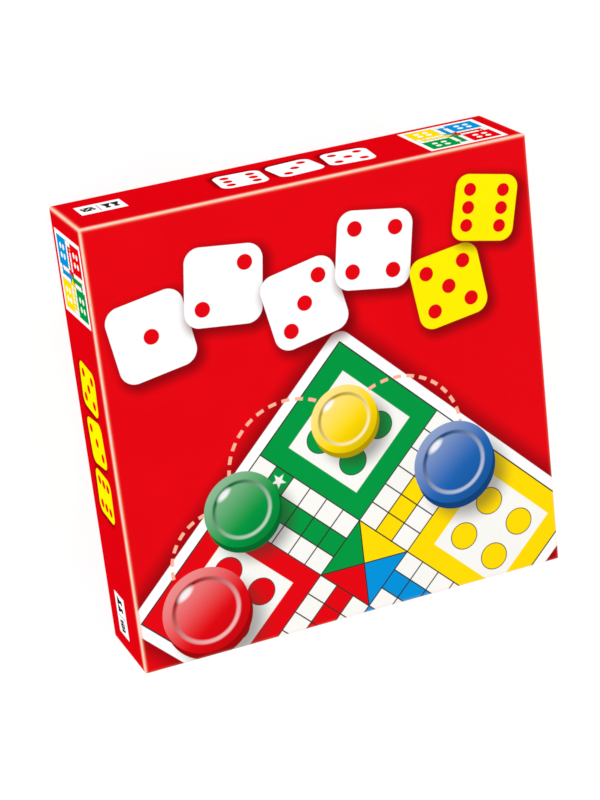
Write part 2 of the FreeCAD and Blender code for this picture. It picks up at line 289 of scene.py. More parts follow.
# Die: an ivory-white cube of moulded plastic with rounded edges, loose in the trough beside the pawns.
# Its pips are shallow round dimples, filled with black paint.
die_low, die_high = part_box("die")
die_middle = (die_low + die_high) / 2
DIE_SIDE = die_high.z - die_low.z
DIE_TURN = 20.0
PIP_STEP = 0.26 * DIE_SIDE
PIP_RADIUS, PIP_DEPTH = 0.0013, 0.00045
PIP_BALL = (PIP_RADIUS**2 + PIP_DEPTH**2) / (2 * PIP_DEPTH)
PIP_PLACES = {
    1: [(0, 0)],
    2: [(-1, -1), (1, 1)],
    3: [(0, 0), (-1, -1), (1, 1)],
    4: [(-1, -1), (1, 1), (-1, 1), (1, -1)],
    5: [(0, 0), (-1, -1), (1, 1), (-1, 1), (1, -1)],
    6: [(-1, -1), (1, 1), (-1, 1), (1, -1), (-1, 0), (1, 0)],
}


def own_place(tree, place, middle, turn=0.0, scale=(1.0, 1.0, 1.0)):
    """Place seen from a motif's own middle, turn in degrees and size."""
    mapping = add(tree, "Mapping", vector_type="TEXTURE")
    mapping.inputs["Location"].default_value = middle
    mapping.inputs["Rotation"].default_value = (0, 0, math.radians(turn))
    mapping.inputs["Scale"].default_value = scale
    tree.links.new(place, mapping.inputs["Vector"])
    return mapping.outputs[0]


def nearest_reach(tree, place, spots):
    """Distance from the nearest of some spots."""
    nearest = None
    for spot in spots:
        reach = vector_calc(tree, "DISTANCE", place, spot)
        nearest = reach if nearest is None else calc(tree, "MINIMUM", nearest, reach)
    return nearest


die_plastic, tree, shader, place, colour = moulded_finish("die_plastic", "F4F0E4", 0.93)
ball_height = DIE_SIDE / 2 + PIP_BALL - PIP_DEPTH
faces = {
    1: lambda u, v: (u, v, ball_height),
    6: lambda u, v: (u, v, -ball_height),
    2: lambda u, v: (u, -ball_height, v),
    5: lambda u, v: (u, ball_height, v),
    3: lambda u, v: (ball_height, u, v),
    4: lambda u, v: (-ball_height, u, v),
}
spots = [face(u * PIP_STEP, v * PIP_STEP) for count, face in faces.items() for u, v in PIP_PLACES[count]]
nearest = nearest_reach(tree, own_place(tree, place, die_middle, DIE_TURN), spots)
paint = spread(tree, nearest, PIP_BALL + 0.00002, PIP_BALL + 0.00005, 1.0, 0.0)
tree.links.new(over(tree, colour, ink("1A1817"), paint), shader.inputs["Base Color"])
dress("die", die_plastic)

# Playing board: a printed sheet drawn over a greyboard core and folded under it, with a grey backing sheet.
# The print is the traditional ludo cross: fifteen squares a side, four yards, four home columns.
RED = ink("E2030F")
PAPER_WHITE = ink("F7F5F0")
LINE = ink("2A2624")
PRINT_INKS = [RED, ink("009640"), ink("FFD900"), ink("0090D7")]


def inside(tree, distance, edge, soft):
    """One up to an edge and nothing past it."""
    return spread(tree, distance, edge - soft / 2, edge + soft / 2, 1.0, 0.0)


def oblong(tree, s, t, middle, half, soft):
    """A square-cornered patch."""
    reach_s = calc(tree, "SUBTRACT", apart(tree, s, middle[0]), half[0])
    reach_t = calc(tree, "SUBTRACT", apart(tree, t, middle[1]), half[1])
    return inside(tree, calc(tree, "MAXIMUM", reach_s, reach_t), 0.0, soft)


def hypotenuse(tree, one, other):
    return calc(tree, "SQRT", calc(tree, "MULTIPLY_ADD", one, one, calc(tree, "MULTIPLY", other, other)))


def star(tree, s, t, middle, radius, soft):
    """A five-pointed star that points along t."""
    ds = calc(tree, "SUBTRACT", s, middle[0])
    dt = calc(tree, "SUBTRACT", t, middle[1])
    fifth = math.pi / 5
    fold = calc(tree, "PINGPONG", calc(tree, "ARCTAN2", ds, dt), fifth)
    away = hypotenuse(tree, ds, dt)
    waist = 0.42 * radius
    normal = (waist * math.sin(fifth), radius - waist * math.cos(fifth))
    length = math.hypot(*normal)
    tip = calc(tree, "MULTIPLY_ADD", away, calc(tree, "COSINE", fold), -radius)
    side = calc(tree, "MULTIPLY", away, calc(tree, "SINE", fold))
    side = calc(tree, "MULTIPLY", side, normal[1] / length)
    edge = calc(tree, "MULTIPLY_ADD", tip, normal[0] / length, side)
    return inside(tree, edge, 0.0, soft)


def ludo_cross():
    """Node group that draws the cross, with one square to the unit and its middle at the origin."""
    tree = bpy.data.node_groups.new("ludo_cross", "ShaderNodeTree")
    tree.interface.new_socket("Place", in_out="INPUT", socket_type="NodeSocketVector")
    tree.interface.new_socket("Solid yards", in_out="INPUT", socket_type="NodeSocketFloat")
    tree.interface.new_socket("Colour", in_out="OUTPUT", socket_type="NodeSocketColor")
    entry = tree.nodes.new("NodeGroupInput")
    result = tree.nodes.new("NodeGroupOutput")
    u, v, _ = axes_of(tree, entry.outputs[0])
    open_yards = calc(tree, "SUBTRACT", 1.0, entry.outputs[1])
    minus_u = calc(tree, "MULTIPLY", u, -1.0)
    minus_v = calc(tree, "MULTIPLY", v, -1.0)
    soft = 0.03
    colour = PAPER_WHITE
    quarters = [(u, v), (minus_v, u), (minus_u, minus_v), (v, minus_u)]
    for (s, t), player in zip(quarters, PRINT_INKS):
        patch = oblong(tree, s, t, (-4.5, 4.5), (3.0, 3.0), soft)
        patch = calc(tree, "MAXIMUM", patch, oblong(tree, s, t, (-4.0, 0.0), (2.5, 0.5), soft))
        patch = calc(tree, "MAXIMUM", patch, oblong(tree, s, t, (-6.0, 1.0), (0.5, 0.5), soft))
        wedge = calc(tree, "ADD", calc(tree, "ABSOLUTE", t), s)
        wedge = calc(tree, "MAXIMUM", wedge, calc(tree, "MULTIPLY_ADD", s, -1.0, -1.5))
        patch = calc(tree, "MAXIMUM", patch, inside(tree, wedge, 0.0, soft))
        colour = over(tree, colour, player, patch)
        colour = over(tree, colour, PAPER_WHITE, star(tree, s, t, (-6.0, 1.0), 0.36, soft))
        yard_s = apart(tree, s, -4.5)
        yard_t = apart(tree, t, 4.5)
        reach = calc(tree, "MAXIMUM", yard_s, yard_t)
        lawn = calc(tree, "MULTIPLY", inside(tree, reach, 2.05, soft), open_yards)
        colour = over(tree, colour, PAPER_WHITE, lawn)
        spot = hypotenuse(tree, calc(tree, "SUBTRACT", yard_s, 0.98), calc(tree, "SUBTRACT", yard_t, 0.98))
        ring = calc(tree, "MULTIPLY", inside(tree, spot, 0.66, soft), open_yards)
        colour = over(tree, colour, LINE, ring)
        spot_ink = over(tree, PAPER_WHITE, player, open_yards)
        colour = over(tree, colour, spot_ink, inside(tree, spot, 0.62, soft))
    far_u = calc(tree, "ABSOLUTE", u)
    far_v = calc(tree, "ABSOLUTE", v)
    near = calc(tree, "MINIMUM", far_u, far_v)
    far = calc(tree, "MAXIMUM", far_u, far_v)
    ruled_u = calc(tree, "PINGPONG", calc(tree, "ADD", u, 0.5), 0.5)
    ruled_v = calc(tree, "PINGPONG", calc(tree, "ADD", v, 0.5), 0.5)
    ruled = inside(tree, calc(tree, "MINIMUM", ruled_u, ruled_v), 0.03, soft)
    ruled = calc(tree, "MULTIPLY", ruled, inside(tree, near, 1.53, soft))
    ruled = calc(tree, "MULTIPLY", ruled, spread(tree, far, 1.45, 1.47, 0.0, 1.0))
    mitre = inside(tree, apart(tree, far_u, far_v), 0.04, soft)
    mitre = calc(tree, "MULTIPLY", mitre, inside(tree, far, 1.5, soft))
    border = inside(tree, apart(tree, far, 7.5), 0.035, soft)
    drawn = calc(tree, "MAXIMUM", calc(tree, "MAXIMUM", ruled, mitre), border)
    colour = over(tree, colour, LINE, drawn)
    tree.links.new(colour, result.inputs[0])
    return tree


LUDO_CROSS = ludo_cross()


def print_cross(tree, place, middle, turn, square, solid_yards=0.0):
    """The cross with its middle at a place of the print, turned, and with squares of this size."""
    square_place = own_place(tree, place, (*middle, 0), turn, (square, square, 1))
    group = add(tree, "Group", node_tree=LUDO_CROSS)
    tree.links.new(square_place, group.inputs[0])
    group.inputs[1].default_value = solid_yards
    return group.outputs[0], square_place


def flat_place(tree, place, right, up):
    """Place on a flat panel in millimetres, from its own right and up directions."""
    across = vector_calc(tree, "DOT_PRODUCT", place, [1000 * c for c in right])
    rise = vector_calc(tree, "DOT_PRODUCT", place, [1000 * c for c in up])
    joined = add(tree, "CombineXYZ")
    tree.links.new(across, joined.inputs[0])
    tree.links.new(rise, joined.inputs[1])
    return joined.outputs[0], across, rise


def start_block(name, low, high):
    """A block between two corners, open for shaping in edit mode."""
    if bpy.context.object and bpy.context.object.mode != "OBJECT":
        bpy.ops.object.mode_set(mode="OBJECT")
    bpy.ops.object.select_all(action="DESELECT")
    size = [b - a for a, b in zip(low, high)]
    middle = [(a + b) / 2 for a, b in zip(low, high)]
    bpy.ops.mesh.primitive_cube_add(size=1.0, location=middle, scale=size)
    piece = bpy.context.object
    piece.name = piece.data.name = name
    bpy.ops.object.transform_apply(location=True, rotation=True, scale=True)
    bpy.ops.object.mode_set(mode="EDIT")
    return piece


def pick(piece, kind, wanted):
    """Selects only the faces, edges or vertices that are wanted."""
    bpy.ops.mesh.select_mode(type=kind)
    bpy.ops.mesh.select_all(action="DESELECT")
    shape = bmesh.from_edit_mesh(piece.data)
    for element in {"FACE": shape.faces, "EDGE": shape.edges, "VERT": shape.verts}[kind]:
        element.select = wanted(element)
    shape.select_flush_mode()
    bmesh.update_edit_mesh(piece.data)


def middle_of(edge):
    return (edge.verts[0].co + edge.verts[1].co) / 2


def run_of(edge):
    return edge.verts[1].co - edge.verts[0].co


def finish_sheet(piece, thickness, offset=-1.0):
    """Gives a folded sheet its thickness, inwards from the printed side unless another offset is given.

    The printed faces stay first in the mesh, and their number is returned.
    """
    bpy.ops.object.mode_set(mode="OBJECT")
    printed = len(piece.data.polygons)
    solid = piece.modifiers.new("thickness", "SOLIDIFY")
    solid.thickness = thickness
    solid.offset = offset
    solid.use_even_offset = True
    bpy.ops.object.modifier_apply(modifier=solid.name)
    bpy.ops.object.shade_smooth_by_angle(angle=math.radians(30.0))
    return printed


def lay_out_print(piece, printed, low, high, full):
    """Lays a square sheet out flat, its printed side on most of the map and its glued side on a strip."""
    margin, print_width, strip_width = 0.004, 0.92, 0.06
    layout = piece.data.uv_layers.new(name="OFBake")
    for face in piece.data.polygons:
        left, width = margin, print_width
        if face.index >= printed:
            left, width = 1 - margin - strip_width, strip_width
        for corner in face.loop_indices:
            spot = piece.data.vertices[piece.data.loops[corner].vertex_index].co
            reach = max(abs(spot.x), abs(spot.y))
            if abs(face.normal.z) > 0.5 and spot.z < (low.z + high.z) / 2:
                out = (2 * high.x - reach + high.z - low.z) / (reach * full)
            else:
                out = (1 + (high.z - spot.z) / high.x) / full
            across, along = 0.5 + 0.5 * out * spot.x, 0.5 + 0.5 * out * spot.y
            layout.uv[corner].vector = (left + width * across, margin + (1 - 2 * margin) * along)


def bare_back(tree, picture, height, level):
    """Leaves the glued side of a sheet's flat top as bare paper."""
    facing = vector_calc(tree, "DOT_PRODUCT", add(tree, "TexCoord").outputs["Normal"], (0, 0, 1))
    glued = spread(tree, facing, -0.6, -0.4, 1.0, 0.0)
    upper = spread(tree, height, level - 0.4, level - 0.3, 0.0, 1.0)
    return over(tree, picture, PAPER_WHITE, calc(tree, "MULTIPLY", glued, upper))


FOLD_UNDER = 0.01
BOARD_RADIUS = 0.0006
BOARD_PAPER = 0.00012
BOARD_SQUARE = 13.2
BORDER_START = 100.4
board_low, board_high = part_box("playing_board_print")
sheet = start_block("playing_board_sheet", board_low, board_high)
pick(sheet, "FACE", lambda f: f.normal.z < -0.5)
bpy.ops.mesh.inset(thickness=FOLD_UNDER)
bpy.ops.mesh.delete(type="FACE")
pick(sheet, "EDGE", lambda e: abs(run_of(e).z) > 0.001 or middle_of(e).z > board_high.z - 0.0001)
bpy.ops.mesh.bevel(offset=BOARD_RADIUS, segments=4, affect="EDGES")
printed = finish_sheet(sheet, BOARD_PAPER)
lay_out_print(sheet, printed, board_low, board_high, board_high.x + board_high.z - board_low.z + FOLD_UNDER)
board_print, tree, shader = new_finish("board_print")
place = object_place(tree)
flat, x, y = flat_place(tree, place, (1, 0, 0), (0, 1, 0))
colour, square_place = print_cross(tree, flat, (0, 0), 0.0, BOARD_SQUARE)
edge = calc(tree, "MAXIMUM", calc(tree, "ABSOLUTE", x), calc(tree, "ABSOLUTE", y))
height = vector_calc(tree, "DOT_PRODUCT", place, (0, 0, 1000))
board_top = 1000 * board_high.z
folded_under = spread(tree, height, board_top - 0.4, board_top - 0.3, 1.0, 0.0)
border = calc(tree, "MAXIMUM", folded_under, spread(tree, edge, BORDER_START, BORDER_START + 0.1, 0.0, 1.0))
colour = over(tree, colour, RED, border)
BOARD_EDGE = board_high.z - board_high.x
INWARDS = ((1, 0, 1), (-1, 0, 1), (0, 1, 1), (0, -1, 1))
BOARD_RUBS = [(across, BOARD_EDGE, 0.6, 1.0, 0.45) for across in INWARDS]
colour = bare_back(tree, rub_and_highlight_edges(tree, colour, place, BOARD_RUBS), height, board_top)
paper_surface(tree, shader, colour, place, 0.15, 0.38, 0.5)
sheet.data.materials.append(board_print)
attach(sheet, "playing_board")
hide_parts("playing_board_print")

backing, tree, shader = new_finish("board_backing")
place = object_place(tree)
cloud = spread(tree, mottle(tree, place, 250.0, 6.0), 0.3, 0.7, 0.0, 1.0)
colour = over(tree, ink("B7B9BB"), ink("AEB0B3"), cloud)
paper_surface(tree, shader, colour, place, 0.2, 0.6, 0.72)
dress("playing_board_backing", backing)

# Rules leaflet: a sheet of thin white paper folded three times into eight leaves, main fold on the left.
# The front carries a band, a small ludo cross and rows of grey bars; the loose edges don't quite line up.
LEAF_WIDTH, LEAF_LENGTH, LEAF_STACK = 0.074, 0.105, 0.0009
LEAF_TURN = 8.0
LEAF_PAPER = 0.00008
LEAF_STEP = 0.000105
LEAF_ENDS = (0.0, 0.0005, 0.0002, 0.0008)
BAR_PITCH = 3.6
leaf_low, leaf_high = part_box("rules_leaflet")
leaf_middle = ((leaf_low.x + leaf_high.x) / 2, (leaf_low.y + leaf_high.y) / 2, leaf_low.z)
fold_x = (LEAF_STACK - LEAF_WIDTH) / 2
mid_z = LEAF_STACK / 2
leaves = []
for number, short in enumerate(LEAF_ENDS):
    fold = mid_z - LEAF_PAPER / 2 - number * LEAF_STEP
    run = LEAF_WIDTH / 2 - short - fold_x
    bpy.ops.object.select_all(action="DESELECT")
    bpy.ops.mesh.primitive_plane_add(size=1.0, location=(fold_x + run / 2, 0, mid_z - fold))
    leaf = bpy.context.object
    leaf.scale = (run, LEAF_LENGTH, 1)
    leaves.append(leaf)
    bpy.ops.object.transform_apply(location=True, rotation=True, scale=True)
    bpy.ops.object.mode_set(mode="EDIT")
    pick(leaf, "EDGE", lambda e: all(abs(v.co.x - fold_x) < 1e-6 for v in e.verts))
    bpy.ops.mesh.spin(steps=10, angle=math.pi, center=(fold_x, 0, mid_z), axis=(0, 1, 0))
    bpy.ops.mesh.extrude_edges_move(TRANSFORM_OT_translate={"value": (run - 0.0003 * number, 0, 0)})
    bpy.ops.mesh.select_all(action="SELECT")
    bpy.ops.mesh.remove_doubles(threshold=1e-7)
    finish_sheet(leaf, LEAF_PAPER, offset=0.0)
bpy.ops.object.select_all(action="DESELECT")
for leaf in leaves:
    leaf.select_set(True)
leaflet = leaves[0]
bpy.context.view_layer.objects.active = leaflet
bpy.ops.object.join()
leaflet.name = leaflet.data.name = "leaflet_leaves"
leaflet.rotation_euler = (0, 0, math.radians(LEAF_TURN))
leaflet.location = leaf_middle
bpy.ops.object.transform_apply(location=True, rotation=True, scale=True)

leaflet_paper, tree, shader = new_finish("leaflet_paper")
place = object_place(tree)
front = own_place(tree, place, leaf_middle, LEAF_TURN, (0.001, 0.001, 0.001))
u, v, height = axes_of(tree, front)
cloud = spread(tree, mottle(tree, place, 90.0), 0.3, 0.7, 0.0, 1.0)
colour = over(tree, ink("F6F4EF"), ink("E9E6DF"), cloud)
art = over(tree, colour, ink("D9141E"), oblong(tree, u, v, (0, 43.0), (33.0, 4.0), 0.1))
cross, square_place = print_cross(tree, front, (0, 12.5), 0.0, 2.9)
square_u, square_v, _ = axes_of(tree, square_place)
art = over(tree, art, cross, oblong(tree, square_u, square_v, (0, 0), (7.54, 7.54), 0.03))
rows = calc(tree, "DIVIDE", v, BAR_PITCH)
row = calc(tree, "FLOOR", rows)
chance = add(tree, "TexWhiteNoise", noise_dimensions="1D")
tree.links.new(row, chance.inputs["W"])
row_end = spread(tree, chance.outputs["Value"], 0.0, 1.0, 14.0, 33.0)
bars = inside(tree, apart(tree, calc(tree, "FRACT", rows), 0.5), 0.16, 0.04)
bars = calc(tree, "MULTIPLY", bars, inside(tree, calc(tree, "SUBTRACT", u, row_end), 0.0, 0.1))
bars = calc(tree, "MULTIPLY", bars, oblong(tree, u, v, (0, -30.6), (33.0, 16.2), 0.1))
art = over(tree, art, ink("7B7771"), bars)
top_leaf = spread(tree, height, 0.82, 0.86, 0.0, 1.0)
colour = over(tree, colour, art, top_leaf)
paper_surface(tree, shader, colour, place, 0.1, 0.6, 0.72)
leaflet.data.materials.append(leaflet_paper)
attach(leaflet, "leaflet")
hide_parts("rules_leaflet")

# Lid wrap, face: the printed paper over the lid's top, drawn tight round its four edges, with a painted
# highlight along its left and back edges and faint rubbed wear along the other two. The print is a red
# ground, a tumbling row of dice faces, and a turned ludo cross with counters that hop along it.
SHADE = ink("6E0209")
WHITE = ink("FCFCFC")
YELLOW = ink("FFED00")
EDGE_RADIUS = 0.0007
FACE_BAND_WIDTH, SIDE_BAND_WIDTH, CORNER_BAND_WIDTH = 1.35, 3.0, 1.75
CROSS_MIDDLE, CROSS_TURN, CROSS_SQUARE = (6.0, -84.0), 45.0, 10.8


def rounded_reach(tree, local, half, rounding):
    """Distance from the flat middle of a rounded square."""
    flank = vector_calc(tree, "ABSOLUTE", local)
    flank = vector_calc(tree, "SUBTRACT", flank, (half - rounding, half - rounding, 0))
    flank = vector_calc(tree, "MAXIMUM", flank, (0, 0, 0))
    return vector_calc(tree, "LENGTH", flank)


def pip_reach(tree, local, count, step):
    """Distance from the nearest pip of a dice face."""
    return nearest_reach(tree, local, [(u * step, v * step, 0) for u, v in PIP_PLACES[count]])


def print_dice_face(tree, picture, place, middle, turn, side, face_ink, count, glow):
    """A rounded dice face with red pips and a soft shadow under its lower right."""
    rounding = 0.2 * side
    below = own_place(tree, place, (middle[0] + 0.05 * side, middle[1] - 0.06 * side, 0), turn)
    shadow = rounded_reach(tree, below, side / 2, rounding)
    shadow = spread(tree, shadow, rounding - 0.3 * glow, rounding + glow, 0.75, 0.0, "SMOOTHSTEP")
    picture = over(tree, picture, SHADE, shadow)
    local = own_place(tree, place, (*middle, 0), turn)
    face = inside(tree, rounded_reach(tree, local, side / 2, rounding), rounding, 0.25)
    picture = over(tree, picture, face_ink, face)
    pips = pip_reach(tree, local, count, 0.27 * side)
    return over(tree, picture, RED, inside(tree, pips, 0.098 * side, 0.25))


def print_hop(tree, picture, place, start, end):
    """A dashed half circle from one counter to the next."""
    middle = ((start[0] + end[0]) / 2, (start[1] + end[1]) / 2, 0)
    radius = math.dist(start, end) / 2
    turn = math.degrees(math.atan2(end[1] - start[1], end[0] - start[0]))
    local = own_place(tree, place, middle, turn)
    along, rise, _ = axes_of(tree, local)
    band = inside(tree, apart(tree, vector_calc(tree, "LENGTH", local), radius), 0.85, 0.25)
    angle = calc(tree, "ARCTAN2", rise, along)
    dash = calc(tree, "PINGPONG", calc(tree, "MULTIPLY", angle, radius), 3.4)
    band = calc(tree, "MULTIPLY", band, inside(tree, dash, 2.0, 0.25))
    band = calc(tree, "MULTIPLY", band, spread(tree, rise, -0.1, 0.1, 0.0, 1.0))
    return over(tree, picture, ink("FFB59A"), band)


def print_counter(tree, picture, place, middle, radius, colour_code):
    """A thick round playing counter seen from above, lit from the upper left."""
    base = ink(colour_code)
    dark = (*(0.42 * c for c in base[:3]), 1.0)
    pale = (*(0.45 + 0.55 * c for c in base[:3]), 1.0)
    fall = (middle[0] + 0.30 * radius, middle[1] - 0.42 * radius, 0)
    shadow = vector_calc(tree, "DISTANCE", place, fall)
    shadow = spread(tree, shadow, 0.7 * radius, 1.3 * radius, 0.6, 0.0, "SMOOTHSTEP")
    picture = over(tree, picture, LINE, shadow)
    flank = vector_calc(tree, "DISTANCE", place, (middle[0] + 0.05 * radius, middle[1] - 0.16 * radius, 0))
    picture = over(tree, picture, dark, inside(tree, flank, radius, 0.25))
    local = vector_calc(tree, "SUBTRACT", place, (*middle, 0))
    away = vector_calc(tree, "LENGTH", local)
    light = vector_calc(tree, "DOT_PRODUCT", local, (-0.6 / radius, 0.8 / radius, 0))
    top = over(tree, base, pale, spread(tree, light, -0.4, 1.2, 0.0, 0.6, "SMOOTHSTEP"))
    top = over(tree, top, dark, spread(tree, light, 0.1, -1.2, 0.0, 0.5, "SMOOTHSTEP"))
    rim = inside(tree, apart(tree, away, 0.74 * radius), 0.045 * radius, 0.05 * radius)
    lip = spread(tree, light, -0.7, 0.7, 0.0, 1.0)
    top = over(tree, top, over(tree, pale, dark, lip), rim)
    picture = over(tree, picture, top, inside(tree, away, radius, 0.25))
    glint_at = (middle[0] - 0.42 * radius, middle[1] + 0.5 * radius, 0)
    glint = own_place(tree, place, glint_at, 38.0, (0.3 * radius, 0.13 * radius, 1))
    glint = spread(tree, vector_calc(tree, "LENGTH", glint), 0.35, 1.0, 0.8, 0.0, "SMOOTHSTEP")
    return over(tree, picture, WHITE, glint)


def glue_to_lid(piece, paper):
    piece.data.materials.append(paper)
    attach(piece, "lid")
    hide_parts("lid_wrap")


lid_low, lid_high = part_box("lid_wrap")
SHEET = 0.0001
face_base = lid_high.z - EDGE_RADIUS - SHEET / 2
lid_face = start_block("lid_face_print", (lid_low.x, lid_low.y, face_base), lid_high)
pick(lid_face, "FACE", lambda f: f.normal.z < -0.5)
bpy.ops.mesh.delete(type="FACE")
pick(lid_face, "EDGE", lambda e: middle_of(e).z > face_base + 0.0001)
bpy.ops.mesh.bevel(offset=EDGE_RADIUS, segments=6, affect="EDGES")
printed = finish_sheet(lid_face, SHEET)
lay_out_print(lid_face, printed, lid_low, lid_high, lid_high.x + EDGE_RADIUS + SHEET)

face_print, tree, shader = new_finish("lid_face_print")
place = object_place(tree)
flat, x, y = flat_place(tree, place, (1, 0, 0), (0, 1, 0))
cross, square_place = print_cross(tree, flat, CROSS_MIDDLE, CROSS_TURN, CROSS_SQUARE)
sheet_reach = rounded_reach(tree, square_place, 8.0, 0.6)
picture = over(tree, RED, SHADE, spread(tree, sheet_reach, 0.5, 1.6, 0.7, 0.0, "SMOOTHSTEP"))
picture = over(tree, picture, WHITE, inside(tree, sheet_reach, 0.6, 0.03))
picture = over(tree, picture, cross, inside(tree, rounded_reach(tree, square_place, 7.5, 0.0), 0.03, 0.03))
COUNTERS = [
    ((-76.0, -86.0), 22.0, "E2030F"),
    ((-52.0, -40.0), 19.0, "009640"),
    ((4.0, -8.0), 17.0, "FFD900"),
    ((58.0, -44.0), 21.0, "1B62B0"),
]
for (start, *_), (end, *_) in zip(COUNTERS, COUNTERS[1:]):
    picture = print_hop(tree, picture, flat, start, end)
for middle, radius, code in COUNTERS:
    picture = print_counter(tree, picture, flat, middle, radius, code)
DICE_FACES = [
    ((-84.0, 54.0), 9.0, 38.0, WHITE, 1),
    ((-47.0, 70.0), -7.0, 38.0, WHITE, 2),
    ((-9.0, 53.0), 11.0, 38.0, WHITE, 3),
    ((28.0, 71.0), -9.0, 38.0, WHITE, 4),
    ((64.0, 45.0), 8.0, 36.0, YELLOW, 5),
    ((86.0, 79.0), -12.0, 32.0, YELLOW, 6),
]
for middle, turn, side, face_ink, count in DICE_FACES:
    picture = print_dice_face(tree, picture, flat, middle, turn, side, face_ink, count, glow=6.0)
TOP_EDGE = lid_high.z - lid_high.x
# Full strength on the left and back edges is a painted highlight; the faint bands on the right and front
# edges are wear.
FACE_STRENGTHS = (((-1, 0, 1), 0.12), ((0, 1, 1), 0.12), ((1, 0, 1), 1.0), ((0, -1, 1), 1.0))
FACE_RUBS_AND_HIGHLIGHTS = [(across, TOP_EDGE, FACE_BAND_WIDTH, SIDE_BAND_WIDTH, strength) for across, strength in FACE_STRENGTHS]
height = vector_calc(tree, "DOT_PRODUCT", place, (0, 0, 1000))
picture = bare_back(tree, rub_and_highlight_edges(tree, picture, place, FACE_RUBS_AND_HIGHLIGHTS), height, 1000 * lid_high.z)
paper_surface(tree, shader, picture, place)
glue_to_lid(lid_face, face_print)

# Lid wrap, left and right sides: the sheet's side flaps, folded down, turned in over the rim,
# with their ears drawn round the upright corners under the flaps of the other two sides.
EAR = 0.012
TURN_IN = 0.015
WALL = 0.0019
SIDE_SQUARE = 2.35
SIDE_DIE = 23.0
CROSS_RISE, DICE_RISE, LABEL_RISE = 24.0, 23.0, 19.5
LABEL_HALF = (11.0, 7.4)
inner = lid_high.x - WALL


def print_pawn(tree, picture, s, t, at):
    """A small dark pawn: a round head on a sloping body."""
    aside = apart(tree, s, at)
    head = hypotenuse(tree, aside, calc(tree, "SUBTRACT", t, 2.1))
    slope = calc(tree, "MULTIPLY_ADD", t, 0.33, aside)
    body = calc(tree, "MAXIMUM", calc(tree, "SUBTRACT", slope, 0.95), calc(tree, "SUBTRACT", -4.2, t))
    body = calc(tree, "MAXIMUM", body, calc(tree, "SUBTRACT", t, 2.0))
    shape = calc(tree, "MAXIMUM", inside(tree, head, 1.35, 0.15), inside(tree, body, 0.0, 0.15))
    return over(tree, picture, LINE, shape)


def side_finish(name, outward, right, dice_ink, cross_at, dice_at, label_at, top_rub_and_highlight, corner_rubs_and_highlights):
    """Print of one side: a small ludo cross on white, three dice faces, a label with two pawns and a die."""
    material, tree, shader = new_finish(name)
    place = object_place(tree)
    flat, along, rise = flat_place(tree, place, right, (0, 0, 1))
    cross, square_place = print_cross(tree, flat, (cross_at, CROSS_RISE), 0.0, SIDE_SQUARE, solid_yards=1.0)
    card = inside(tree, rounded_reach(tree, square_place, 8.4, 0.0), 0.05, 0.1)
    # The ground is the darkened wall red, painted shade.
    art = over(tree, SHADED_WALL_RED, WHITE, card)
    art = over(tree, art, cross, inside(tree, rounded_reach(tree, square_place, 7.5, 0.0), 0.05, 0.1))
    for step, turn, count in ((-27.0, -6.0, 5), (0.0, 5.0, 3), (27.0, -4.0, 6)):
        middle = (dice_at + step, DICE_RISE)
        art = print_dice_face(tree, art, flat, middle, turn, SIDE_DIE, dice_ink, count, glow=3.0)
    label = own_place(tree, flat, (label_at, LABEL_RISE, 0))
    s, t, _ = axes_of(tree, label)
    art = over(tree, art, WHITE, oblong(tree, s, t, (0, 0), LABEL_HALF, 0.2))
    art = over(tree, art, LINE, oblong(tree, s, t, (1.0, 0), (0.2, 5.0), 0.15))
    for at in (-7.2, -3.0):
        art = print_pawn(tree, art, s, t, at)
    small_die = own_place(tree, label, (6.0, -0.6, 0), 12.0)
    art = over(tree, art, LINE, inside(tree, rounded_reach(tree, small_die, 3.1, 0.8), 0.8, 0.15))
    art = over(tree, art, WHITE, inside(tree, pip_reach(tree, small_die, 5, 1.6), 0.55, 0.15))
    depth = vector_calc(tree, "DOT_PRODUCT", place, [1000 * c for c in outward])
    outer = 1000 * lid_high.x
    picture = over(tree, SHADED_WALL_RED, art, spread(tree, depth, outer - 0.7, outer - 0.4, 0.0, 1.0))
    picture = over(tree, picture, PALE_RUB_AND_HIGHLIGHT, spread(tree, rise, 0.9, 1.5, 0.15, 0.0))
    # Bands along the top edge and the upright corners: faint ones are rubbed wear, full-strength ones a
    # painted highlight.
    rubs_and_highlights = [((-outward[0], -outward[1], 1), TOP_EDGE, FACE_BAND_WIDTH, SIDE_BAND_WIDTH, top_rub_and_highlight)]
    for across, strength in zip(((1, -1, 0), (1, 1, 0)), corner_rubs_and_highlights):
        rubs_and_highlights.append((across, 0.0, CORNER_BAND_WIDTH, CORNER_BAND_WIDTH, strength))
    paper_surface(tree, shader, rub_and_highlight_edges(tree, picture, place, rubs_and_highlights), place, 0.0, 0.55, 0.68)
    return material


def at_rim(edge):
    return middle_of(edge).z < lid_low.z + SHEET


